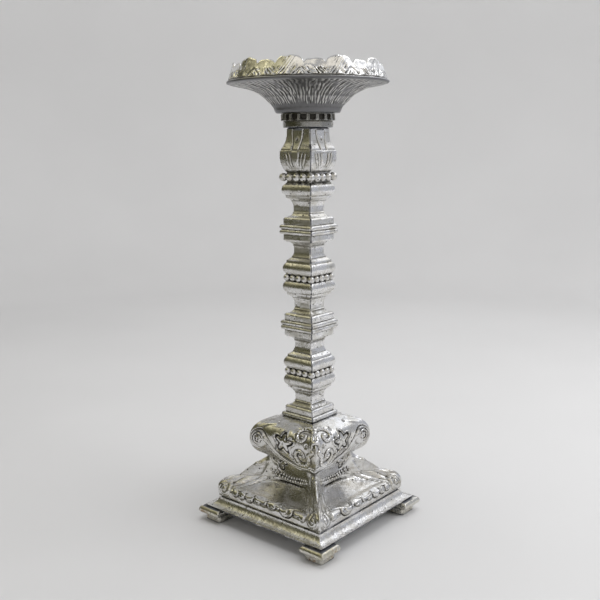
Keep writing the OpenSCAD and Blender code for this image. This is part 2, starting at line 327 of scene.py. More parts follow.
def makePiece(name, shells, finish, node, body="stick", sharp=42, passes=5):
    # joins closed shells to one mesh and stands it for its CAD node; a finish is a material and its slot
    # name, and the slot name is not used
    material, slotName = finish
    starts = np.cumsum([0] + [len(shell[0]) for shell in shells])
    points = np.vstack([shell[0] for shell in shells])
    quads = np.vstack([shell[1] + start for shell, start in zip(shells, starts)])
    fans = np.vstack([shell[2] + start for shell, start in zip(shells, starts)])
    mesh = bpy.data.meshes.new(name)
    mesh.vertices.add(len(points))
    mesh.vertices.foreach_set("co", (points * mm).astype(np.float32).ravel())
    mesh.loops.add(quads.size + fans.size)
    mesh.loops.foreach_set("vertex_index", np.concatenate([quads.ravel(), fans.ravel()]).astype(np.int32))
    mesh.polygons.add(len(quads) + len(fans))
    begins = np.concatenate([np.arange(len(quads)) * 4, quads.size + np.arange(len(fans)) * 3])
    mesh.polygons.foreach_set("loop_start", begins.astype(np.int32))
    mesh.update(calc_edges=True)
    mesh.polygons.foreach_set("use_smooth", np.ones(len(mesh.polygons), bool))
    mesh.set_sharp_from_angle(angle=np.radians(sharp))
    edges = np.zeros(len(mesh.edges) * 2, np.int32)
    mesh.edges.foreach_get("vertices", edges)
    normals = np.zeros(len(points) * 3, np.float32)
    mesh.vertex_normals.foreach_get("vector", normals)
    depth = hollowness(points, edges.reshape(-1, 2), normals.reshape(-1, 3), passes)
    # a shell may bring its own hollow value or an amount off it: painted shade on beads, cut lines, arch
    # slots and dish creases, and real wear on the arrises
    for shell, start in zip(shells, starts):
        place = slice(start, start + len(shell[0]))
        if len(shell) > 3:
            depth[place] = shell[3] if shell[3] is not None else depth[place] - shell[4]
    mesh.attributes.new("hollow", "FLOAT", "POINT").data.foreach_set("value", depth.astype(np.float32))
    mesh.materials.append(material)
    piece = linked(name, mesh)
    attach(piece, body)
    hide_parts(node)
    print("made", name, "with", len(quads) * 2 + len(fans), "triangles")


# finishes

class Socket:
    # a node socket in an expression: each operator adds its Math node
    def __init__(self, recipe, socket):
        self.recipe = recipe
        self.socket = socket

    def join(self, operation, first, second):
        return self.recipe.node("ShaderNodeMath", {"operation": operation}, {0: first, 1: second})

    def __add__(self, other):
        return self.join("ADD", self, other)

    def __sub__(self, other):
        return self.join("SUBTRACT", self, other)

    def __rsub__(self, other):
        return self.join("SUBTRACT", other, self)

    def __mul__(self, other):
        return self.join("MULTIPLY", self, other)

    __radd__ = __add__
    __rmul__ = __mul__


class Recipe:
    # one material: node() makes any node from its type, its settings and the values of its sockets; its
    # place is the Object coordinate
    def __init__(self, name):
        self.material = bpy.data.materials.new(name)
        self.material.use_nodes = True
        self.tree = self.material.node_tree
        self.tree.nodes.clear()
        self.place = self.node("ShaderNodeTexCoord", output=3)

    def node(self, kind, settings=None, sockets=None, output=0):
        made = self.tree.nodes.new(kind)
        for setting, value in (settings or {}).items():
            setattr(made, setting, value)
        for place, value in (sockets or {}).items():
            if isinstance(value, Socket):
                self.tree.links.new(value.socket, made.inputs[place])
            else:
                made.inputs[place].default_value = value
        return Socket(self, made.outputs[output]) if len(made.outputs) else None

    def mask(self, value, low, high):
        # 0 at low and 1 at high, an S-curve between; low may be the larger
        return self.node("ShaderNodeMapRange", {"interpolation_type": "SMOOTHSTEP"},
                         {"Value": value, "From Min": low, "From Max": high})

    def tint(self, share, under, over):
        return self.node("ShaderNodeMix", {"data_type": "RGBA"}, {0: share, 6: under, 7: over}, output=2)

    def stretched(self, scale):
        return self.node("ShaderNodeMapping", None, {"Vector": self.place, "Scale": scale})

    def hollow(self):
        # each point's depth under its surroundings in millimetres, as makePiece worked it out, raised on
        # some shells by painted shade
        return self.node("ShaderNodeAttribute", {"attribute_name": "hollow"}, output=2)

    def cloud(self, size, detail=3.0, roughness=0.55, place=None):
        # noise with patches of about this size, in metres
        return self.node("ShaderNodeTexNoise", None, {"Vector": place or self.place, "Scale": 1 / size,
                                                      "Detail": detail, "Roughness": roughness})

    def finish(self, colour, metallic, roughness, height, distance):
        normal = self.node("ShaderNodeBump", None,
                           {"Strength": 1.0, "Distance": distance, "Height": height})
        shader = self.node("ShaderNodeBsdfPrincipled", None, {
            "Base Color": colour, "Metallic": metallic, "Roughness": roughness, "Normal": normal})
        self.node("ShaderNodeOutputMaterial", None, {"Surface": shader})
        return self.material


silverLook = {
    "plate": (0.78, 0.775, 0.77, 1),
    "warm": (0.56, 0.535, 0.46, 1),
    "tarnishAndPaintedShade": (0.20, 0.19, 0.155, 1),
    "oxideAndPaintedShade": (0.030, 0.027, 0.022, 1),
    "bare": (0.16, 0.165, 0.18, 1),
    "stain": (0.26, 0.13, 0.05, 1),
    "streak": (0.27, 0.235, 0.17, 1),
    "roughness": 0.19,
    "hollowStart": 0.03,      # millimetres below the surroundings where the tarnish, and any painted shade added to the hollow value, start
    "hollowFull": 0.13,
    "edgeStart": 0.22,        # millimetres above them where the plate starts to wear
    "edgeFull": 0.34,
    "pitShare": 0.30,         # share of the cells that hold a pit
    "stainShare": 0.62,
    "patchSize": 0.012,       # metres
    "grainSize": 0.0016,
    "speckleSize": 0.0006,
    "spotScale": 430.0,       # cells in a metre
    "brush": 0.0,             # how strong the upright brush lines are
    "bump": 0.00012,          # metres between the top and the foot of the finest relief
}


def plateFinish(name, **changes):
    # worn silver plate over grey metal: tarnish in the hollows, painted shade where a shell raised its
    # hollow value, bare metal on the edges, pits and stains
    look = {**silverLook, **changes}
    r = Recipe(name)
    patches = r.cloud(look["patchSize"])
    grain = r.cloud(look["grainSize"], detail=4.0)
    speckle = r.cloud(look["speckleSize"], detail=2.0)
    ragged = r.hollow() + (grain - 0.5) * 0.06
    dark = r.mask(ragged, look["hollowStart"], look["hollowFull"])
    deep = r.mask(ragged, look["hollowFull"] * 0.8, look["hollowFull"] * 2.0)
    edge = r.mask(0 - ragged, look["edgeStart"], look["edgeFull"]) * r.mask(patches, 0.30, 0.50)
    cells = {"Vector": r.place, "Scale": look["spotScale"]}
    spotDistance = r.node("ShaderNodeTexVoronoi", None, cells)
    spotColour = r.node("ShaderNodeTexVoronoi", None, cells, output=1)
    chance = r.node("ShaderNodeSeparateColor", None, {0: spotColour})
    pits = r.mask(spotDistance + (speckle - 0.5) * 0.3, 0.30, 0.16)
    pits = pits * r.mask(chance, 1 - look["pitShare"], 1.0)
    blots = r.cloud(0.02, detail=5.0, roughness=0.7)
    stains = r.mask(blots, look["stainShare"], look["stainShare"] + 0.1) * r.mask(grain, 0.45, 0.62)
    level = r.stretched((0.45, 0.45, 2.2))
    streaks = r.mask(r.cloud(0.0055, detail=4.0, roughness=0.65, place=level), 0.53, 0.68)
    dull = r.mask(patches + (grain - 0.5) * 0.5, 0.36, 0.70)
    colour = r.tint(dull * 0.6, look["plate"], look["warm"])
    # the tarnish and oxide colours below also paint shade where a shell raised the hollow value
    colour = r.tint(dark * 0.8, colour, look["tarnishAndPaintedShade"])
    colour = r.tint(streaks * 0.4, colour, look["streak"])
    colour = r.tint(stains * 0.7, colour, look["stain"])
    colour = r.tint(edge, colour, look["bare"])
    colour = r.tint(deep, colour, look["oxideAndPaintedShade"])
    colour = r.tint(pits, colour, look["oxideAndPaintedShade"])
    roughness = look["roughness"] + dull * 0.12 + dark * 0.18 + edge * 0.14 + pits * 0.3
    metallic = 1 - deep * 0.5 - pits * 0.6 - stains * 0.4
    height = grain * 0.6 + speckle * 0.25 + patches * 1.2 - pits * 0.9
    if look["brush"]:
        height = height + r.cloud(0.0011, place=r.stretched((1, 1, 0.06))) * look["brush"]
    return r.finish(colour, metallic, roughness, height, look["bump"])


dishPlateLook = {
    "under": (0.17, 0.17, 0.175, 1),
    "stroke": (0.66, 0.65, 0.63, 1),
    "border": (0.86, 0.85, 0.83, 1),
    "tarnishAndPaintedShade": (0.10, 0.097, 0.085, 1),
    "fluteUp": 4.0,           # millimetres above the dish's foot where the strokes start
    "rimUp": 19.2,            # and where the bright border does
}


def dishFinish(name):
    # plain grey underneath with bright stroke tops, and bright plate on the border above the rim
    look = {**silverLook, **dishPlateLook}
    rimHeight = (dishFoot + look["rimUp"]) * mm
    fluteFoot = (dishFoot + look["fluteUp"]) * mm
    r = Recipe(name)
    up = r.node("ShaderNodeSeparateXYZ", None, {0: r.place}, output=2)
    patches = r.cloud(0.010)
    grain = r.cloud(0.0015, detail=4.0)
    speckle = r.cloud(0.0006, detail=2.0)
    ragged = r.hollow() + (grain - 0.5) * 0.05
    bright = r.mask(up, rimHeight - 0.0003, rimHeight + 0.0005)
    dark = r.mask(ragged - bright * 0.03, 0.01, 0.09)
    deep = r.mask(ragged - bright * 0.03, 0.07, 0.20)
    worn = r.mask(0 - ragged, -0.02, 0.07) * r.mask(up, fluteFoot, fluteFoot + 0.0015)
    worn = worn * r.mask(up, rimHeight - 0.0012, rimHeight - 0.0020)
    under = r.tint(worn * 0.9, look["under"], look["stroke"])
    over = r.tint(r.mask(patches, 0.45, 0.7) * 0.4, look["border"], look["warm"])
    colour = r.tint(bright, under, over)
    # the tarnish and oxide colours also paint shade along the rim crease and the border's top edge
    colour = r.tint(dark * 0.85, colour, look["tarnishAndPaintedShade"])
    colour = r.tint(deep, colour, look["oxideAndPaintedShade"])
    roughness = 0.20 + (1 - bright) * 0.14 + dark * 0.2
    metallic = 1 - deep * 0.5
    height = grain * 0.6 + speckle * 0.25 + patches * 1.0
    return r.finish(colour, metallic, roughness, height, look["bump"])


def plainMetal(name, colour, darker, roughness):
    # workshop metal: mottled, with finer scratches in the bump
    r = Recipe(name)
    patches = r.cloud(0.004, detail=5.0)
    scratches = r.cloud(0.002, place=r.stretched((1, 1, 8)))
    tone = r.tint(r.mask(patches, 0.35, 0.7), colour, darker)
    return r.finish(tone, 1 - patches * 0.3, roughness + patches * 0.25, scratches + patches * 0.5, 0.00006)


silverPlate = plateFinish("worn silver plate", roughness=0.25), "silver_plate"
basePlate = plateFinish("worn plate of the base", roughness=0.17), "silver_plate"
plinthPlate = plateFinish("brushed plinth plate", pitShare=0.42, brush=2.2, roughness=0.24), "plinth_plate"
footPlate = plateFinish("yellowed foot plate", plate=(0.70, 0.685, 0.63, 1), warm=(0.50, 0.46, 0.31, 1),
                        pitShare=0.5, stainShare=0.54, edgeStart=0.10, edgeFull=0.20,
                        roughness=0.24), "foot_plate"
collarPlate = plateFinish("tarnished collar plate", plate=(0.40, 0.395, 0.375, 1),
                          warm=(0.20, 0.195, 0.165, 1)), "dark_plate"
dishPlate = dishFinish("dish plate"), "dark_plate"
steel = plainMetal("zinc plated steel", (0.46, 0.47, 0.48, 1), (0.24, 0.24, 0.24, 1), 0.32), "steel"
screwBrass = plainMetal("dull brass", (0.55, 0.42, 0.18, 1), (0.25, 0.18, 0.08, 1), 0.35), "brass_screws"
print("finishes made")

# feet and plinth

footLook = {
    "half": 9.5,          # half width of the slab
    "padTop": 4.6,
    "nose": 2.55,         # radius of the slab's rounded edge
    "middle": 45.5,       # middle of the slab from the axis
    "padMiddle": 44.6,
    "padHalf": 6.9,
    "screwPlace": 43.0,
    "screwRadius": 1.65,
    "headRadius": 3.05,
    "headSeat": 2.6,
}


def makeFeet(look):
    # a round-nosed slab on a smaller pad, as squares of changing half width about shifting middles,
    # with the screw's stepped hole through both
    ring = squareRing(30, 6)
    half, nose, padTop, padHalf = look["half"], look["nose"], look["padTop"], look["padHalf"]
    slab = outline([(padHalf + 0.2, padTop + 0.1), (half - nose, padTop)],
                   arc(half - nose, padTop + nose, nose, -90, 90, 12))
    pad = outline([(padHalf - 0.5, 0), (padHalf, 0.4), (padHalf + 0.1, padTop - 0.2)])
    bore, head = look["screwRadius"], look["headRadius"]
    seat = look["headSeat"]
    stepped = [(bore + 0.3, footTop), (bore, footTop - 0.3), (bore, seat), (head, seat)]
    for name, sx, sy in (("foot_front_left", -1, -1), ("foot_front_right", 1, -1),
                         ("foot_back_left", -1, 1), ("foot_back_right", 1, 1)):
        way = np.array([sx, sy])
        screw = way * look["screwPlace"]
        grid = np.vstack([
            circleRows(ring, (head, 0), screw),
            squareGrid(ring, pad[:, 0], pad[:, 1], 1.8, way * look["padMiddle"]),
            squareGrid(ring, slab[:, 0], slab[:, 1], 0.9, way * look["middle"]),
            circleRows(ring, stepped, screw)])
        wear = noise(grid, 3.0, 5) * 0.10 + noise(grid, 1.1, 6) * 0.06
        wear[:1] = 0
        wear[-4:] = 0
        grid = pushOut(grid, np.where(grid[..., 2] > footTop - 0.05, 0, wear), True)
        grid[..., 2] = np.maximum(grid[..., 2], 0)
        makePiece("bracket_" + name, [closedShell(grid, True)], footPlate, name)


makeFeet(footLook)

plinthLook = {
    "half": 51.2,
    "topHalf": 44.9,
    "lip": 0.9,
    "recessHalf": 35.5,
    "recess": 2.8,
    "hole": 3.3,
}


def makePlinth(look):
    # the lip, the cove and the top run round a square; the underside steps up into the recess
    ring = squareRing(250, 6)
    top = cushionFoot
    reach = look["half"] - look["topHalf"]
    angle = np.linspace(0, np.pi / 2, 22)
    cove = np.stack([look["half"] - reach * np.sin(angle),
                     footTop + look["lip"] + (top - footTop - look["lip"]) * (1 - np.cos(angle))], -1)
    side = outline([(look["half"] - 0.25, footTop), (look["half"], footTop + 0.25)], cove,
                   [(look["topHalf"] - 1.2, top)], step=0.4)
    outer = squareGrid(ring, side[:, 0], side[:, 1], 0.5)
    onCove = between(outer[..., 2], footTop + 0.6, footTop + 1.6, top - 0.5, top - 0.1)
    reed = noise(outer, 0.9, 21, 0.12) + 0.6 * noise(outer, 2.4, 22, 0.2)
    nicks = np.clip(noise(outer, 1.3, 23, 0.4) - 0.25, 0, 1)
    onLip = within(outer[..., 2], footTop + 0.9, footTop + 1.6)
    outer = pushOut(outer, 0.085 * reed * onCove - 0.55 * nicks * onLip + 0.04 * noise(outer, 9, 24))
    under = footTop + look["recess"]
    grid = np.vstack([
        outer,
        circleRows(ring, [(look["hole"] + 0.4, top), (look["hole"], top - 0.4), (look["hole"], under)]),
        squareGrid(ring, np.array([look["recessHalf"] - 0.5, look["recessHalf"], look["recessHalf"]]),
                   np.array([under, under - 0.3, footTop]), 0.8)])
    makePiece("coved_plinth", [closedShell(grid, True)], plinthPlate, "plinth")


makePlinth(plinthLook)

# cushion base

cushionLook = {
    "middle": [(43.6, 0), (43.6, 0.7), (44.4, 0.95), (44.6, 1.4), (44.6, 4.2), (44.2, 5.6), (43.0, 7.0),
               (40.0, 8.5), (35.0, 9.7), (29.0, 10.6), (24.0, 11.8), (20.5, 12.9), (19.0, 13.4)],
    "corner": [(43.7, 0), (43.8, 0.7), (44.7, 1.0), (45.2, 2.6), (45.5, 6.7), (45.3, 8.1), (44.9, 9.6),
               (44.1, 11.0), (43.1, 12.4), (41.4, 13.8), (38.0, 15.0), (30.0, 15.4), (19.0, 15.6)],
    "ridgePower": 4.5,      # how fast the ridge falls away from the diagonal
    # each lobe of the lip: place along the face, height and radius
    "lobes": [(31.0, 8.8, 3.9), (25.4, 9.4, 3.2), (16.5, 9.0, 5.4), (9.4, 9.2, 2.6), (3.4, 8.9, 3.9),
              (-3.6, 8.4, 2.8), (-9.0, 8.4, 3.4), (-16.5, 8.2, 3.8), (-23.6, 7.6, 3.0), (-29.6, 7.4, 2.6)],
    "ridges": [([(29, 12.2), (24, 11.0), (20, 9.4), (15.5, 6.6), (12.2, 7.2), (10.6, 9.8)], 1.25, 0.75),
               ([(8, 11.0), (3, 8.4), (-3, 7.2), (-9, 7.6), (-13, 9.8)], 1.1, 0.55),
               ([(-12, 8.2), (-17, 6.8), (-22, 7.4), (-26, 9.6)], 1.0, 0.5)],      # line, width and height
    "dents": [(18.5, 7.6, 0.4), (5.4, 7.0, -0.3), (-7.4, 6.6, 0.4), (-19.0, 6.0, -0.3), (-26.4, 6.2, 0.2)],
    "scrollOut": 5.6,       # scroll centre from the corner along the face
    "scrollUp": 7.0,
    "scrollRadius": 5.5,
}


def cornerwise(ring):
    # +1 at the two corners with the scroll cartouche, front right and back left, and -1 at the other two
    return ring["along"] * np.where(ring["face"] % 2 == 0, 1, -1)


def blended(ring, middle, corner, power):
    # half width that runs from the face's middle outline to the corner outline by a power of the place
    share = np.abs(ring["along"])[None, :] ** np.reshape(power, (-1, 1))
    return middle[:, None] * (1 - share) + corner[:, None] * share


def lipRelief(look, q, w):
    # a raised sheet over the plain band with a scalloped lower edge, the union of round lobes, that
    # sinks back into the panel further up, with a groove under the edge and ridges that sway over it
    edge = 9.0 - w
    for place, up, radius in look["lobes"]:
        edge = np.minimum(edge, np.hypot((q - place) / 1.1, w - up) - radius)
    raised = within(edge, -0.75, 0.1)
    height = 1.15 * raised * within(w, 8.0, 15.0)
    height = height - 0.30 * roundRidge(edge - 0.55, 0.6)
    for line, width, lift in look["ridges"]:
        distance, share = lineDistance(q, w, curve(line, 6))
        swell = width * (0.35 + 0.65 * np.sin(np.pi * share))
        height = height + lift * roundRidge(distance, swell)
    for place, up, lean in look["dents"]:
        x, y = q - place, w - up
        away = np.hypot((x + lean * y) / 1.3, y / 0.8)
        height = height - 0.6 * within(away, 0.35, 1.0)
    return height


def cornerScroll(look, u, v):
    # a round scroll on the face beside the corner: a pad with a ring, a groove and an eye
    away = np.hypot(u - look["scrollOut"], v - look["scrollUp"])
    angle = np.arctan2(v - look["scrollUp"], u - look["scrollOut"])
    turn = ((away / 2.35 - angle / (2 * np.pi)) % 1) - 0.5
    pad = 0.6 * within(away, look["scrollRadius"] - 1.6, look["scrollRadius"] + 0.3)
    line = 0.40 * roundRidge(turn, 0.36) * between(away, 1.5, 2.1, 4.8, 5.5)
    return pad + line + 0.7 * roundRidge(away, 1.5)


def leafStrands(ring, half):
    # strands that fan out beside each diagonal, as ripples in the distance from the corner over the half
    # width, with a toothed slot along their lower edge
    fan = (1 - np.abs(ring["along"]))[None, :] * (half > 0)
    along = half * (1 + np.abs(ring["along"]))[None, :] / np.sqrt(2)
    ripple = np.abs(np.sin(np.pi * fan / 0.085 + 0.25 * np.sin(along * 0.30)))
    inFan = between(fan, 0.012, 0.03, 0.235, 0.255)
    teeth = 0.268 + 0.012 * np.sin(along * 2 * np.pi / 3.1)
    slot = roundRidge((fan - teeth) * 60, 1.0)
    return (0.42 * ripple ** 0.7 - 0.12) * inFan - 0.22 * slot


def makeCushion(look):
    # panels that sag between ridges on the diagonals: rings whose half width runs from the panel's
    # outline to the ridge's, carved with the lip, the leaf strands and the corner scrolls
    ring = squareRing(150, 7, 0.3)
    panel = outline(look["middle"][:4], curve(look["middle"][4:], 6), step=0.42)
    crest = outline(*[point for point in look["corner"][-5:]], step=0.55)
    crest = crest[crest[:, 1] > panel[-1, 1] + 0.02]
    corner = np.array(look["corner"])
    length = np.r_[0, np.cumsum(np.hypot(*np.diff(panel, axis=0).T))]
    height = np.r_[panel[:, 1], crest[:, 1]]
    middleHalf = np.r_[panel[:, 0], np.full(len(crest), panel[-1, 0])]
    cornerHalf = np.r_[np.interp(panel[:, 1], corner[:, 1], corner[:, 0]), crest[:, 0]]
    half = blended(ring, middleHalf, cornerHalf, look["ridgePower"])
    outer = squareGrid(ring, half, cushionFoot + height, 0.7)
    q = cornerwise(ring)[None, :] * half
    w = np.broadcast_to(np.r_[length, np.full(len(crest), length[-1])][:, None], q.shape)
    up = np.broadcast_to(height[:, None], q.shape)
    besideCorner = smooth(np.abs(q), 31.5, 34.0) * (up < 12.5)
    lip = lipRelief(look, q, w) * within(np.abs(q), 31.0, 33.5) * within(w, 14.5, 16.0)
    scroll = cornerScroll(look, 45.5 - np.abs(q), up) * besideCorner
    strands = leafStrands(ring, half) * smooth(w, 11.5, 14.5) * (up < 15.4)
    sag = -0.6 * (1 - np.abs(ring["along"]) ** 2)[None, :] * roundRidge(w - 19, 11)
    plain = smooth(up, 1.6, 2.6)
    outer = pushOut(outer, (lip + scroll + strands) * plain + sag + noise(outer, 7, 31) * 0.12
                    + noise(outer, 1.6, 32) * 0.05 * plain)
    top = height[-1] + cushionFoot
    grid = np.vstack([outer, coreRows(ring, top, cushionFoot)])
    makePiece("carved_cushion", [closedShell(grid, True)], basePlate, "cushion_base", passes=4)


makeCushion(cushionLook)

# scroll block

blockLook = {
    "middle": [(19.5, 0), (19.5, 1.5), (19.4, 5), (20.3, 10), (21.8, 13.5), (24.2, 18), (26.8, 24),
               (28, 30), (27.5, 35), (25, 39), (20, 41.6), (13.3, 43.7)],
    "leg": [(34.6, 0), (34.6, 2.0), (34.0, 3.2), (31.6, 6.0), (28.7, 8.8), (25.4, 11.5), (22.6, 13.6),
            (20.9, 15.2)],
    "shoulder": [(23.3, 40.2), (20.3, 41.5), (17.0, 42.4), (13.3, 43.7)],
    "scrollRadius": 11.8,
    "scrollOut": 30.0,      # scroll centre from the axis along the diagonal
    "scrollUp": 29.0,
    "beltUp": 30.0,         # height of the widest line, where the place up the face is zero
    "legPower": 4.6,        # how fast the legs, and above them the scrolls, fall away from the diagonal
    "scrollPower": 3.0,
    "paintedLineShade": 0.12,      # painted shade: how much darker the cut lines are made than their depth makes them
}


def starRecess(q, w):
    # a five-pointed outline sunk round a raised flower, and the outline by itself: the edge lies between
    # an inner and an outer radius by the cosine of five times the angle
    angle = np.arctan2(w - 1.4, q)
    away = np.hypot(q / 1.1, w - 1.4)
    point = np.clip(0.5 + 0.5 * np.cos(5 * (angle - np.pi / 2 + 0.1)), 0, 1)
    edge = 4.4 + 3.4 * point ** 1.3
    line = roundRidge(away - edge + 0.6, 0.95)
    centre = 0.6 * within(away, 0.6, edge * 0.75) - 0.35 * roundRidge(away, 1.1)
    lip = 0.55 * roundRidge(away - edge - 0.9, 0.9)
    return centre + lip - 1.1 * line, line


def leafRecess(q, w):
    # a sunk three-armed leaf under the band with a raised middle, by the cosine of three times the angle
    x, y = (q + 8.4) / 1.25, w + 18.4
    angle = np.arctan2(y, x)
    away = np.hypot(x, y)
    point = np.clip(0.5 + 0.5 * np.cos(3 * (angle - 0.5)), 0, 1) ** 1.2
    edge = 2.5 + 3.5 * point
    line = roundRidge(away - edge + 0.4, 0.85)
    return 0.5 * within(away, 0.4, edge * 0.8) - 1.0 * line, line


def cartouche(q, w):
    # the scrolls beside an ornamented corner: an upper and a lower scroll, eyes, an oval hollow on the
    # arris and a roped rim below
    height = np.zeros_like(q)
    upper = np.vstack([curve([(24.5, 1.5), (24.6, 6.5), (22.6, 12.2)], 8)[:-1],
                       spiral(15.2, 9.8, 7.6, 2.2, 18, 1.0)])
    lower = np.vstack([curve([(26.5, 1.0), (24.5, -1.0), (22.6, -2.2)], 6)[:-1],
                       spiral(15.2, -4.9, 7.8, 2.6, 20, -1.05)])
    for line, width, lift in ((upper, 1.9, 1.5), (lower, 1.8, 1.35)):
        distance, share = lineDistance(q, w, line)
        ripple = 1 + 0.16 * np.sin(share * 2 * np.pi * 22) * smooth(share, 0.15, 0.3)
        body = lift * ripple * roundRidge(distance, width * (1 - 0.42 * share))
        height = np.maximum(height, body)
    for x, y, radius in ((15.2, 10.0, 2.1), (15.2, -4.6, 2.1), (5.8, 4.4, 2.0), (26.4, 7.4, 1.5)):
        height = np.maximum(height, 1.5 * roundRidge(np.hypot(q - x, w - y), radius))
    sunk = within(np.hypot((q - 19.8) / 1.7, (w - 3.4) / 2.2), 0.5, 1.0)
    pit = within(np.hypot((q - 9.6) / 1.5, (w - 9.0) / 2.6), 0.5, 1.0)
    rope = curve([(5.6, -7.2), (8.2, -10.6), (12.5, -12.6), (18, -12.8), (24, -12.9), (29, -13.2)], 10)
    distance, share = lineDistance(q, w, rope)
    twist = 1 + 0.25 * np.sin(share * 2 * np.pi * 15)
    height = np.maximum(height, 1.15 * twist * roundRidge(distance, 1.2))
    ground = smooth(q, 5.0, 8.0) * between(w, -11.5, -9.0, 14.0, 17.0) * within(q, 24, 26)
    return height - 0.55 * ground - 0.6 * sunk - 0.7 * pit


def earScroll(q, w):
    # the scroll at a plain corner: a smooth outer band that runs up into a loop on the shoulder, nested
    # fingers inside it and an eye with a small rosette
    x, y = q + 21.6, w + 0.2
    away = np.hypot(x * 0.95, y)
    angle = np.arctan2(y, x)
    loop, share = lineDistance(q, w, curve([(-22.5, 8.0), (-19.5, 10.6), (-15.5, 12.8), (-11.5, 14.0)], 6))
    pad = 0.7 * within(np.minimum(away - 6.2, loop - 1.6), -0.6, 1.0)
    rings = roundRidge(((away - 2.9) % 1.5) - 0.75, 0.66) * between(away, 2.6, 3.1, 5.6, 6.2)
    fingers = 1.15 * rings * smooth(np.cos(angle - 2.5), -0.55, 0.0)
    petals = roundRidge(away, 2.4 + 0.45 * np.cos(5 * angle))
    rim = roundRidge(away - 6.7, 0.6) * smooth(np.cos(angle - 2.5), -0.8, -0.2)
    return pad + fingers + 1.0 * petals - 0.6 * roundRidge(away, 0.7) - 0.5 * rim


def blockRelief(q, w):
    # everything carved on one face, by the place along it and the place up it, and where its lines get
    # painted shade
    band = curve([(-15.5, 1.0), (-12.6, -2.2), (-9.6, -5.8), (-5.5, -9.8), (1.5, -13.0), (8, -15.4),
                  (16, -15.6), (29, -15.8)], 8)
    distance, share = lineDistance(q, w, band)
    height = 0.9 * roundRidge(distance, 1.7 - 0.5 * share)
    under = smooth(-w, 5, 9) * roundRidge(distance - 2.1, 0.7)
    height = height - 0.4 * under
    star, starLine = starRecess(q, w)
    leaf, leafLine = leafRecess(q, w)
    onStar = (np.abs(q) < 10) * (w > -9.5)
    onLeaf = (np.abs(q + 8.4) < 9.5) * (w < -11.5) * (w > -26)
    height = height + star * onStar + leaf * onLeaf
    height = height + earScroll(q, w) * (q < -9) + cartouche(q, w) * (q > 3.5)
    return height, np.maximum(starLine * onStar, np.maximum(leafLine * onLeaf, 0.4 * under))


def makeBlock(look):
    # rings whose half width runs from the face's outline to the corner's, which is a leg, a scroll seen
    # on the diagonal and a shoulder; carved by blockRelief, with a skirt of small beads round the foot
    ring = squareRing(124, 7, 0.25)
    side = outline(curve(look["middle"][:-1], 6), look["middle"][-1:], step=0.43)
    scroll = arc(look["scrollOut"], look["scrollUp"], look["scrollRadius"], -90, 71, 40) / [np.sqrt(2), 1]
    corner = np.vstack([look["leg"], scroll, look["shoulder"]])
    length = np.r_[0, np.cumsum(np.hypot(*np.diff(side, axis=0).T))]
    length = length - np.interp(look["beltUp"], side[:, 1], length)
    power = look["legPower"] - (look["legPower"] - look["scrollPower"]) * smooth(side[:, 1], 12, 20)
    half = blended(ring, side[:, 0], np.interp(side[:, 1], corner[:, 1], corner[:, 0]), power)
    outer = squareGrid(ring, half, blockFoot + side[:, 1], 0.6)
    q = cornerwise(ring)[None, :] * half
    w = np.broadcast_to(length[:, None], q.shape)
    keep = between(w, -27, -24, 17.5, 20)
    carve, line = blockRelief(q, w)
    carve = carve * keep
    away = (1 - np.abs(ring["along"]))[None, :] * half / np.sqrt(2)
    onLeg = within(side[:, 1], 11, 13)[:, None]
    legGroove = -0.4 * roundRidge(away - 2.4, 0.5) * onLeg * smooth(half, 22, 24)
    channel = -0.5 * roundRidge(w + 30.2, 2.6) * within(np.abs(q), 13, 15)
    rosette = 0.5 * roundRidge(np.hypot((half - 24.6) / 1.6, away) - 1.2, 0.5) * onLeg
    outer = pushOut(outer, carve + legGroove + channel + rosette + noise(outer, 6, 41) * 0.10
                    + noise(outer, 1.5, 42) * 0.05)
    top = lowerFoot
    grid = np.vstack([outer, coreRows(ring, top, blockFoot)])
    # painted shade along the cut lines, added to the hollow value so that the finish darkens them
    paintedShade = np.zeros(grid.shape[:2])
    paintedShade[:len(outer)] = look["paintedLineShade"] * line * keep
    shells = [closedShell(grid, True) + (None, -paintedShade.ravel())] + skirtBeads(look, side, corner)
    makePiece("scrolled_block", shells, basePlate, "scroll_block", passes=3)


def skirtBeads(look, side, corner):
    # two rows of small beads along the foot of each face, rising towards the legs; each sits where the
    # block's half width, found by repeating half = middle + (corner - middle) * (place / half)^power, is
    shells = []
    for turn in (0, 90, 180, 270):
        for row, (up, radius) in enumerate(((4.2, 1.1), (2.0, 1.25))):
            for x in np.arange(-16, 16.1, 2.3) + 1.15 * row:
                level = up + 3.0 * (x / 16) ** 2 + rng.uniform(-0.2, 0.2)
                middle = np.interp(level, side[:, 1], side[:, 0])
                reach = np.interp(level, corner[:, 1], corner[:, 0]) - middle
                half = middle
                for _ in range(6):
                    half = middle + reach * (abs(x) / half) ** look["legPower"]
                bead = beadShell((x, -half - 0.1, blockFoot + level), radius * rng.uniform(0.86, 1.1), 5, 8)
                shells.append(placed(bead, turn))
    return shells


makeBlock(blockLook)

# stem sections

stemLook = {
    "roll": 1.6,            # radius of the roll moulding
    "rollHalf": 13.9,
    "step": 12.0,
    "stepTop": 7.6,
    "neck": 7.2,
    "neckUp": 15.2,
    "lowerCove": 4.8,
    "lowerCoveUp": 12.3,
    "upperCove": 7.4,
    "bulge": 5.0,
    "bulgeHalf": 12.7,
    "bulgeUp": 25.7,
    "channel": 9.6,
    "channelUp": 29.3,
    "beadRadius": 2.5,
    "arris": 1.2,
    "arrisWear": 0.26,      # how much barer the arrises are than their roundness makes them
}


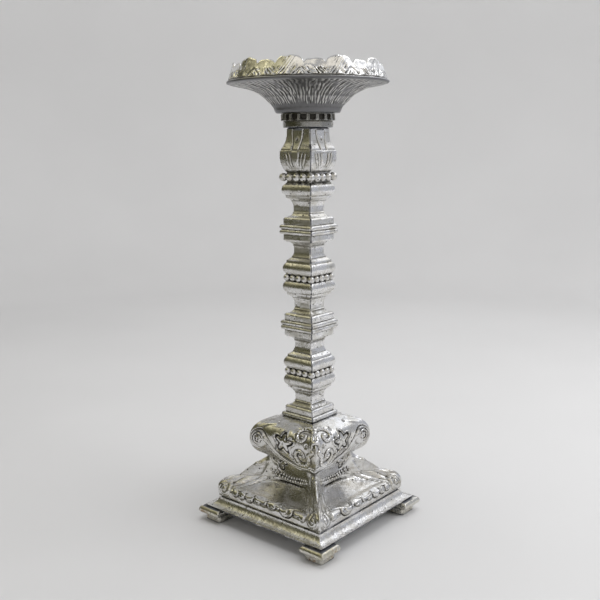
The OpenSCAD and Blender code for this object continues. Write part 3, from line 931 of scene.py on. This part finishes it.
def halfSection(look):
    # half a section from the joint up: roll, square step with a thin fillet, neck, crease and bulge
    roll, step, stepTop, neck = look["roll"], look["step"], look["stepTop"], look["neck"]
    lowerOut, lowerUp = neck + look["lowerCove"], look["lowerCoveUp"]
    upperOut, upperUp = neck + look["upperCove"], look["neckUp"] - 1.0
    return outline(
        [(look["rollHalf"] - roll - 0.4, 0.15)],
        arc(look["rollHalf"] - roll, roll, roll, -80, 76, 12),
        [(step - 0.1, 2 * roll + 0.1), (step, 3.6), (step, stepTop - 0.7),
         (step - 0.4, stepTop - 0.2), (step - 0.9, stepTop + 0.3)],
        arc(lowerOut, lowerUp, look["lowerCove"], 252, 202, 8),
        [(7.75, 10.9), (7.35, 11.3)],
        arc(lowerOut, lowerUp, look["lowerCove"], 190, 180, 3),
        arc(upperOut, upperUp, look["upperCove"], 172, 148, 6),
        [(8.3, 18.5), (8.75, 18.8)],
        arc(upperOut, upperUp, look["upperCove"], 138, 122, 4),
        arc(look["bulgeHalf"] - look["bulge"], look["bulgeUp"], look["bulge"], -50, 46, 14), step=0.55)


def beadRing(radius, up):
    # four cast beads on each side of a square that just holds them, a little uneven
    side = 4 * (2 * radius + 0.1)
    shells = []
    for turn in (0, 90, 180, 270):
        for i in range(4):
            size = radius * rng.uniform(0.94, 1.03)
            place = (side / 2 - side / 4 * i + rng.uniform(-0.12, 0.12), -side / 2,
                     up + rng.uniform(-0.12, 0.12))
            # the corner bead gets painted shade towards both faces it touches
            outward = ((0, -1), (1, 0)) if i == 0 else ((0, -1),)
            shells.append(placed(beadShell(place, size, 13, 22, rng.uniform(0.92, 1.02), outward), turn))
    return shells


def sectionShell(look, ring, profile, foot, top, seed, relief=None):
    # the outline run round a square with narrow arrises, cast a little uneven, with the cored hole inside
    grid = squareGrid(ring, profile[:, 0], foot + profile[:, 1], look["arris"])
    push = noise(grid, 5, seed) * 0.09 + noise(grid, 1.7, seed + 1) * 0.05
    push = push - 0.25 * np.clip(noise(grid, 1.2, seed + 2) - 0.62, 0, 1) / 0.38
    if relief is not None:
        push = push + relief
    grid = pushOut(grid, push)
    mouth = circleRows(ring, (coreRadius + coreEase, foot))
    whole = np.vstack([grid, coreRows(ring, top, foot + coreEase), mouth])
    onArris = np.abs(ring["outward"]).min(1) > 0.4
    wear = np.broadcast_to(look["arrisWear"] * onArris, whole.shape[:2]).ravel()
    return closedShell(whole, True) + (None, wear)


def makeStandardSection(look, node, foot, height, seed):
    # two half sections mirrored about the ring of beads
    ring = squareRing(46, 5)
    half = halfSection(look)
    other = np.stack([half[::-1, 0], height - half[::-1, 1]], -1)
    channel = outline([half[-1], (look["channel"], look["channelUp"]),
                       (look["channel"], height - look["channelUp"]), other[0]], step=0.5)
    profile = np.vstack([half, channel[1:-1], other])
    shell = sectionShell(look, ring, profile, foot, foot + height, seed)
    beads = beadRing(look["beadRadius"], foot + height / 2)
    makePiece("moulded_" + node, [shell] + beads, silverPlate, node)


makeStandardSection(stemLook, "lower_stem_section", lowerFoot, middleFoot - lowerFoot, 50)
makeStandardSection(stemLook, "middle_stem_section", middleFoot, upperFoot - middleFoot, 60)

knopLook = {
    "channel": 10.2,
    "channelUp": 30.6,
    "footUp": 36.8,
    "beadRadius": 2.8,
    "half": 13.3,
    "bellyUp": 46.4,
    "bellyRadius": 17.5,
    "crease": 50.3,
    "flareRadius": 23.3,
    "topHalf": 10.0,
}


def knopRelief(look, s, up, half):
    # on each face a hanging petal above the crease with a ring on it, and a tongue between slanted
    # leaves below it, as grooves and soft pads
    t = s * half
    height = np.zeros_like(t)
    above = smooth(up, look["crease"] + 0.3, look["crease"] + 1.0)
    below = within(up, look["crease"] - 1.0, look["crease"] - 0.3)
    petalHalf = 3.0 + 2.0 * smooth(up, look["crease"], 62)
    height = height - 0.40 * roundRidge(np.abs(t) - petalHalf, 0.6) * above
    height = height + 0.35 * within(np.abs(t), petalHalf - 1.2, petalHalf) * above
    away = np.hypot(t, up - 57.2)
    height = height + above * (0.3 * roundRidge(away - 1.5, 0.55) - 0.2 * roundRidge(away, 0.8))
    corner = smooth(np.abs(t), petalHalf + 0.8, petalHalf + 1.4) * within(up, 51.5, 55.5)
    height = height + 0.35 * corner * above
    tongue = np.hypot(t / 3.6, np.minimum(up - 46.5, 0) / 7.6)
    tongueLine = roundRidge((tongue - 1.05) * 4, 0.6)
    height = height + below * (0.4 * within(tongue, 0.6, 0.95) - 0.25 * tongueLine)
    for lean, place, width in ((0.22, 6.3, 1.5), (0.34, 9.6, 1.6)):
        middle = place - lean * (look["crease"] - up)
        reach = np.hypot((np.abs(t) - middle) / width, (up - 44.8) / 5.0)
        height = height + below * (0.35 * within(reach, 0.5, 0.9) - 0.22 * roundRidge(reach - 1.08, 0.26))
    return height


def makeUpperSection(look, knop):
    # half a section, a larger ring of beads and the waisted knop
    ring = squareRing(64, 5)
    height = collarFoot - upperFoot
    half = halfSection(look)
    profile = outline(
        half, [(knop["channel"], knop["channelUp"]), (knop["channel"], knop["footUp"])],
        arc(knop["half"] - knop["bellyRadius"], knop["bellyUp"], knop["bellyRadius"], -33, 0, 14),
        [(knop["half"], knop["crease"] - 0.4), (knop["half"] - 0.15, knop["crease"])],
        arc(knop["topHalf"] + knop["flareRadius"], height - 3, knop["flareRadius"], 209.2, 180, 16),
        [(knop["topHalf"], height - 0.9), (knop["topHalf"] - 0.8, height)], step=0.5)
    up = np.broadcast_to(profile[:, 1:], (len(profile), len(ring["along"])))
    relief = knopRelief(knop, ring["along"][None, :], up, profile[:, :1]) * smooth(up, 38.5, 39.5)
    relief = relief * within(up, height - 1.8, height - 1.0)
    shell = sectionShell(look, ring, profile, upperFoot, upperFoot + height, 70, relief)
    beads = beadRing(knop["beadRadius"], upperFoot + (knop["channelUp"] + knop["footUp"]) / 2)
    makePiece("moulded_knop_section", [shell] + beads, silverPlate, "upper_stem_section")


makeUpperSection(stemLook, knopLook)

# collar and dish

collarLook = {
    "bandRadius": 16.0,
    "bandHeight": 4.1,
    "galleryRadius": 17.1,
    "galleryHeight": 4.9,
    "spigotRadius": 11.9,
    "arches": 18,
    "archDepth": 1.15,
}


def makeCollar(look):
    # a turned band with an arcade above it: each arch is sunk where it lies inside a rounded-bottom slot
    angle = np.linspace(0, 2 * np.pi, 20 * look["arches"], endpoint=False)
    band, gallery, spigot = look["bandHeight"], look["galleryHeight"], look["spigotRadius"]
    inner, outer, top = look["bandRadius"], look["galleryRadius"], band + gallery
    profile = outline([(inner - 0.4, 0), (inner, 0.4), (inner + 0.1, band - 0.8), (inner - 0.3, band - 0.3),
                       (outer - 0.4, band), (outer, band + 0.4), (outer, top - 0.3),
                       (outer - 0.3, top)], step=0.22)
    up = profile[:, 1:] - band
    pitch = 2 * np.pi / look["arches"]
    t = (((angle + pitch / 2) % pitch) - pitch / 2)[None, :] * outer
    slot = (np.abs(t) ** 3 + np.abs(np.minimum(up - 2.4, 0)) ** 3) ** (1 / 3)
    sunk = within(slot, 1.75, 2.15) * between(up, 0.2, 0.5, gallery - 1.1, gallery - 0.8)
    rim = roundRidge(slot - 2.45, 0.45) * between(up, 0.0, 0.4, gallery - 1.0, gallery - 0.7)
    grid = turnedGrid(profile[:, 0], collarFoot + profile[:, 1], angle)
    grid = pushOut(grid, 0.3 * rim - look["archDepth"] * sunk + noise(grid, 2.5, 81) * 0.05)
    rest = np.array([(spigot, top), (spigot, top + 3.0), (spigot - 0.3, top + 3.2),
                     (coreRadius, top + 3.2), (coreRadius, 0)])
    whole = np.vstack([grid, turnedGrid(rest[:, 0], collarFoot + rest[:, 1], angle)])
    # painted shade in the sunk arches, added to the hollow value
    paintedShade = np.zeros(whole.shape[:2])
    paintedShade[:len(grid)] = 0.26 * sunk
    shell = closedShell(whole, True) + (None, -paintedShade.ravel())
    makePiece("arcaded_collar", [shell], collarPlate, "candle_collar", passes=4)


makeCollar(collarLook)

dishLook = {
    "under": [(20.4, 0.1), (20.9, 0.9), (21.3, 1.6), (21.8, 3.1), (23.1, 5.0), (24.8, 6.8), (26.8, 8.7),
              (28.7, 10.5), (31.6, 12.4), (35.2, 14.2), (40.3, 15.9), (46.0, 17.0), (49.6, 17.6)],
    "rimRadius": 51.5,
    "rimUp": 18.8,
    "borderTop": 46.0,      # radius of the border's top edge
    "hole": 12.0,
    "floorUp": 3.5,
    "lobes": 10,
    "lobeTurn": -63.0,      # degrees round to the middle of one large lobe
    "dip": 27.4,            # height of the lowest places of the edge
    "rise": 3.9,
    "flutes": 90,
}


def borderTop(look, turn):
    # height of the ruffled edge: large and small lobes by turns, each half an ellipse
    share = (turn * look["lobes"] / (2 * np.pi) + 0.5) % 1
    large = look["rise"] * roundRidge(share - 0.5, 0.27) ** 0.8
    small = look["rise"] * 0.5 * roundRidge(np.minimum(share, 1 - share), 0.19) ** 0.8
    return look["dip"] + np.maximum(large, small)


def makeDish(look):
    # one closed turned wall: wavy strokes underneath, a round rim, a border that leans in with a ruffled
    # edge and chevron veins, and the bowl inside
    angle = np.linspace(0, 2 * np.pi, 600, endpoint=False)
    turn = angle - np.radians(look["lobeTurn"])
    under = outline([(look["hole"], 0), (20.0, 0)], curve(look["under"], 4), step=0.72)
    rim = outline([(50.4, 17.9)], arc(look["rimRadius"] - 0.75, look["rimUp"], 0.75, -70, 75, 8),
                  [(50.45, 19.7)], step=0.3)
    grid = turnedGrid(under[:, 0], under[:, 1], angle)
    reach, up = under[:, :1], under[:, 1:]
    length = np.r_[0, np.cumsum(np.hypot(*np.diff(under, axis=0).T))]
    unrolled = turnedGrid(np.full(len(under), 30.0), length, angle)
    sway = 1.3 * noise(unrolled, 11, 91) + 0.55 * noise(unrolled, 3.0, 97, 0.7)
    flute = np.sin(angle[None, :] * look["flutes"] + sway * 3.4)
    strokes = noise(unrolled, 0.9, 92, 0.20)
    strength = smooth(up, 3.6, 6.5) * within(reach, 47.5, 50.0) * (0.6 + 0.4 * noise(unrolled, 5, 93))
    lift = strength * (0.12 * flute + 0.62 * strokes)
    grid = pushOut(grid, lift)
    rimGrid = turnedGrid(rim[:, 0], rim[:, 1], angle)
    rimGrid = pushOut(rimGrid, 0.10 * noise(rimGrid, 2.2, 94))
    share = np.linspace(0, 1, 30)[1:, None]
    top = borderTop(look, turn)[None, :] + 0.35 * noise(turnedGrid([46.0], np.array([0.0]), angle), 3.2, 98)
    bottom = 20.0
    height = bottom + (top - 0.5 - bottom) * share
    lean = (height - bottom) / (look["dip"] + look["rise"] - bottom)
    lobeWave = np.cos(turn * look["lobes"])[None, :]
    radius = 50.4 - (50.4 - look["borderTop"]) * lean ** 0.85 + (0.55 * lobeWave + 0.3) * lean
    border = turnedGrid(radius, height, angle)
    period = (turn * look["lobes"] / (2 * np.pi) + 0.27) % 1
    zigzag = np.abs(period - 0.5) * 2
    slant = zigzag[None, :] * 2 * np.pi * 50 / look["lobes"] / 2
    stroke = np.broadcast_to(slant * 1.25, height.shape)
    acrossAlong = np.stack([(height + stroke) / 0.62, (height - stroke) / 5.0, np.zeros_like(height)], -1)
    vein = noise(acrossAlong, 1.0, 95)
    lowPart = between(height, bottom + 0.3, bottom + 1.0, bottom + 3.6, bottom + 5.6)
    onLobe = smooth(lobeWave, 0.35, 0.9) * smooth(height, bottom + 3.5, bottom + 6) * 0.5
    patchy = 0.7 + 0.3 * noise(border, 6, 99)
    hammered = noise(border, 1.9, 96, 0.6) * smooth(share, 0.0, 0.2)
    border = pushOut(border, (lowPart + onLobe) * patchy * 0.70 * vein + 0.15 * hammered)
    edge = turnedGrid(radius[-1:] - np.array([[0.45], [1.1]]), np.vstack([top, top - 0.35]), angle)
    inside = np.linspace(0.9, 0.08, 8)[:, None]
    innerHeight = bottom + 0.6 + (top - bottom - 1.2) * inside
    innerLean = ((innerHeight - bottom) / 11.3) ** 0.85
    innerRadius = 48.7 - (50.4 - look["borderTop"]) * innerLean + 0.5 * lobeWave * inside
    back = turnedGrid(innerRadius, innerHeight, angle)
    shelf = turnedGrid([48.3, 47.5, 46.4, 45.0], np.array([20.1, 19.6, 19.3, 19.15]), angle)
    bowlTurn = np.radians(np.linspace(84, 0, 18))
    bowlRadius = 17.8 + 28.2 * (1 - np.cos(bowlTurn))
    bowlUp = look["floorUp"] + 15.6 * np.sin(bowlTurn)
    bowl = turnedGrid(bowlRadius, bowlUp, angle)
    floor = turnedGrid([16.5, look["hole"] + 0.3, look["hole"]], np.array([3.5, 3.5, 3.2]), angle)
    whole = np.vstack([grid, rimGrid, border, edge, back, shelf, bowl, floor]) + np.array([0, 0, dishFoot])
    # painted shade along the crease where the rim meets the border, and along the border's top edge
    paintedShade = np.zeros(whole.shape[:2])
    joint = len(grid) + len(rimGrid)
    paintedShade[joint - 2:joint + 2] = 0.10
    paintedShade[joint + len(border) - 2:joint + len(border) + 2] = 0.16
    shell = closedShell(whole, True) + (None, -paintedShade.ravel())
    makePiece("ruffled_dish", [shell], dishPlate, "drip_dish", "dish", passes=4)


makeDish(dishLook)

# fixings under the plinth and inside

rodLook = {
    "radius": 2.97,
    "pitch": 1.0,
    "depth": 0.32,
    "threadLow": 14.0,
    "threadHigh": 14.0,
}


def makeTieRod(look):
    # a round rod whose ends carry a thread: the radius falls by a triangle wave of height less turn
    low, high = span("tie_rod")
    angle = np.linspace(0, 2 * np.pi, 36, endpoint=False)
    lower = np.arange(low[2] + 0.5, low[2] + look["threadLow"], look["pitch"] / 7)
    upper = np.arange(high[2] - look["threadHigh"], high[2] - 0.5, look["pitch"] / 7)
    plain = np.linspace(lower[-1] + 1, upper[0] - 1, 24)
    height = np.r_[low[2], low[2] + 0.4, lower, plain, upper, high[2] - 0.4, high[2]]
    threaded = np.isin(height, np.r_[lower, upper])[:, None]
    wave = np.abs(((height[:, None] / look["pitch"] - angle / (2 * np.pi)) % 1) - 0.5) * 2
    radius = look["radius"] - look["depth"] * wave * threaded
    radius[[0, -1]] = look["radius"] - 0.5
    makePiece("threaded_rod", [closedShell(turnedGrid(radius, height, angle))], steel, "tie_rod")


def makeNut():
    # a hexagon whose corners are cut by a cone at both ends: the smaller of the two radii at each height
    low, high = span("clamp_nut")
    flats = (high[1] - low[1]) / 2
    tall = high[2] - low[2]
    angle = np.linspace(0, 2 * np.pi, 120, endpoint=False)
    hexagon = np.roll(flats / np.cos(((angle + np.pi / 6) % (np.pi / 3)) - np.pi / 6), 10)
    height = np.r_[0, 0.2, 0.5, 0.9, 1.4, tall - 1.4, tall - 0.9, tall - 0.5, tall - 0.2, tall]
    cone = flats * 0.97 + 1.7 * np.minimum(height, tall - height)
    radius = np.minimum(hexagon[None, :], cone[:, None])
    outer = turnedGrid(radius, height + low[2], angle)
    bore = turnedGrid([3.5, 3.05, 3.05, 3.5], np.array([tall, tall - 0.45, 0.45, 0]) + low[2], angle)
    makePiece("hex_nut", [closedShell(np.vstack([outer, bore]), True)], steel, "clamp_nut")


def makeWashers():
    # a flat washer with eased edges, and a split spring washer swept round with its ends a little apart
    low, high = span("clamp_washer")
    angle = np.linspace(0, 2 * np.pi, 120, endpoint=False)
    outer = high[0]
    ease = 0.2
    radius = [outer - ease, outer, outer, outer - ease, 3.4, 3.2, 3.2, 3.4]
    rise = np.array([low[2], low[2] + ease, high[2] - ease, high[2]])
    height = np.r_[rise, rise[::-1]]
    makePiece("flat_washer", [closedShell(turnedGrid(radius, height, angle), True)], steel, "clamp_washer")
    low, high = span("lock_washer")
    share = np.linspace(0, 1, 90)[:, None]
    turn = np.radians(5 + 350 * share)
    section = np.array([(3.2, 0.12), (3.3, 0), (5.1, 0), (5.2, 0.12), (5.2, 1.38), (5.1, 1.5),
                        (3.3, 1.5), (3.2, 1.38)])
    reach = np.broadcast_to(section[:, 0], (90, 8))
    coil = np.stack([reach * np.cos(turn), reach * np.sin(turn),
                     low[2] + section[:, 1] + 0.1 * share], -1)
    makePiece("split_washer", [closedShell(coil)], steel, "lock_washer")


makeTieRod(rodLook)
makeNut()
makeWashers()

for node, (material, _) in (("foot_screws", screwBrass), ("pricket_spike", steel)):
    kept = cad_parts[node]
    if not kept.material_slots:
        kept.data.materials.append(None)
    for place in kept.material_slots:
        place.material = material
print("fixings made")

# light and floor

stageLook = {
    "reach": 1.30,        # radius of the floor
    "bend": 0.45,         # radius of its turn up into the wall
    "wall": 1.9,
    "colour": (0.60, 0.595, 0.59, 1),
}


def makeStage(look):
    # a round floor that turns up into a wall, so every side has the same plain ground
    edge = arc(look["reach"] - look["bend"], look["bend"], look["bend"], -90, 0, 24)
    profile = np.vstack([[(0.02, 0), (0.3, 0)], edge, [(look["reach"], look["wall"])]])
    angle = np.linspace(0, 2 * np.pi, 128, endpoint=False)
    grid = turnedGrid(profile[:, 0], profile[:, 1], angle)
    points, quads, _ = closedShell(grid)
    mesh = bpy.data.meshes.new("sweep")
    mesh.from_pydata(points[:-1].tolist(), [], quads[:, ::-1].tolist())
    mesh.polygons.foreach_set("use_smooth", np.ones(len(mesh.polygons), bool))
    r = Recipe("pale paper")
    tone = r.mask(r.cloud(0.25, detail=2.0), 0.2, 0.8)
    paler = tuple(min(c * 1.04, 1) for c in look["colour"][:3]) + (1,)
    mesh.materials.append(r.finish(r.tint(tone, look["colour"], paler), 0.0, 0.9, r.cloud(0.0015), 0.00002))
    sweep = linked("sweep", mesh)


def makeLight(name, place, aim, size, power, colour):
    # an area light turned to its aim; it lights the diffuse floor, and the cards do the gloss
    light = bpy.data.lights.new(name, "AREA")
    light.shape = "RECTANGLE"
    light.size, light.size_y = size
    light.energy = power
    light.color = colour
    lamp = linked(name, light)
    lamp.location = Vector(place)
    lamp.rotation_euler = (Vector(aim) - Vector(place)).to_track_quat("-Z", "Y").to_euler()
    lamp.visible_glossy = False


def fromCamera(side, ahead, up):
    # a place given to the camera's right, away from the camera and up
    return cameraRight * side + cameraInward * ahead + np.array([0, 0, up])


def makeCard(name, middle, reach, out, low, high, colour, topColour):
    # a curved studio card round the object that only its gloss sees: a strip of a cylinder wall, its
    # colour turning to another one towards its top
    angle = np.radians(np.linspace(middle - reach, middle + reach, 17))
    grid = turnedGrid([out, out], np.array([low, high]), angle)
    index = np.arange(16)
    quads = np.stack([index, index + 1, index + 18, index + 17], -1)
    mesh = bpy.data.meshes.new(name)
    mesh.from_pydata(grid.reshape(-1, 3).tolist(), [], quads.tolist())
    r = Recipe(name)
    up = r.node("ShaderNodeSeparateXYZ", None, {0: r.place}, output=2)
    patches = (r.cloud(0.35, detail=1.0) - 0.5) * 0.5
    glow = r.node("ShaderNodeEmission", None, {
        "Color": r.tint(r.mask(up + patches, 0.50, 1.0), colour, topColour), "Strength": 1.0})
    r.node("ShaderNodeOutputMaterial", None, {"Surface": glow})
    mesh.materials.append(r.material)
    card = linked(name, mesh)
    card.visible_camera = False
    card.visible_diffuse = False
    card.visible_shadow = False


makeStage(stageLook)
for name, place, aim, size, power, colour in (
        ("window", fromCamera(0.95, -0.15, 0.55), (0, 0, 0.15), (0.9, 1.1), 8.8, (0.96, 0.975, 1.0)),
        ("room", fromCamera(-0.9, -0.5, 0.5), (0, 0, 0.15), (0.8, 0.8), 0.8, (1.0, 0.93, 0.72)),
        ("top", fromCamera(0.1, 0.2, 1.35), (0, 0, 0), (1.2, 1.2), 7.2, (1.0, 1.0, 1.0)),
        ("wash", fromCamera(0.1, -0.2, 1.6), fromCamera(1.0, 0.9, 0.5), (0.5, 0.5), 4.6,
         (0.95, 0.96, 1.0))):
    makeLight(name, place, aim, size, power, colour)
makeCard("dim_card", -132, 46, 0.85, 0.0, 1.3, (0.085, 0.081, 0.045, 1), (0.62, 0.58, 0.38, 1))
makeCard("bright_card", 46, 34, 0.85, 0.0, 1.1, (0.50, 0.515, 0.56, 1), (1.9, 1.92, 1.98, 1))
makeCard("back_window", 104, 22, 0.85, 0.30, 1.1, (0.85, 0.87, 0.92, 1), (1.4, 1.42, 1.47, 1))
makeCard("front_card", -37, 46, 0.85, 0.45, 1.1, (0.62, 0.59, 0.54, 1), (1.0, 0.96, 0.88, 1))
makeCard("high_window", 48, 30, 0.70, 0.95, 1.30, (3.2, 3.25, 3.4, 1), (3.2, 3.25, 3.4, 1))
makeCard("high_lamp", -140, 16, 0.62, 0.85, 1.15, (1.8, 1.68, 1.1, 1), (1.8, 1.68, 1.1, 1))

world = bpy.data.worlds.new("soft room")
world.use_nodes = True
world.node_tree.nodes["Background"].inputs["Color"].default_value = (0.85, 0.86, 0.88, 1)
world.node_tree.nodes["Background"].inputs["Strength"].default_value = 0.55
bpy.context.scene.world = world
bpy.context.scene.view_settings.view_transform = "Standard"
print("light and floor made")
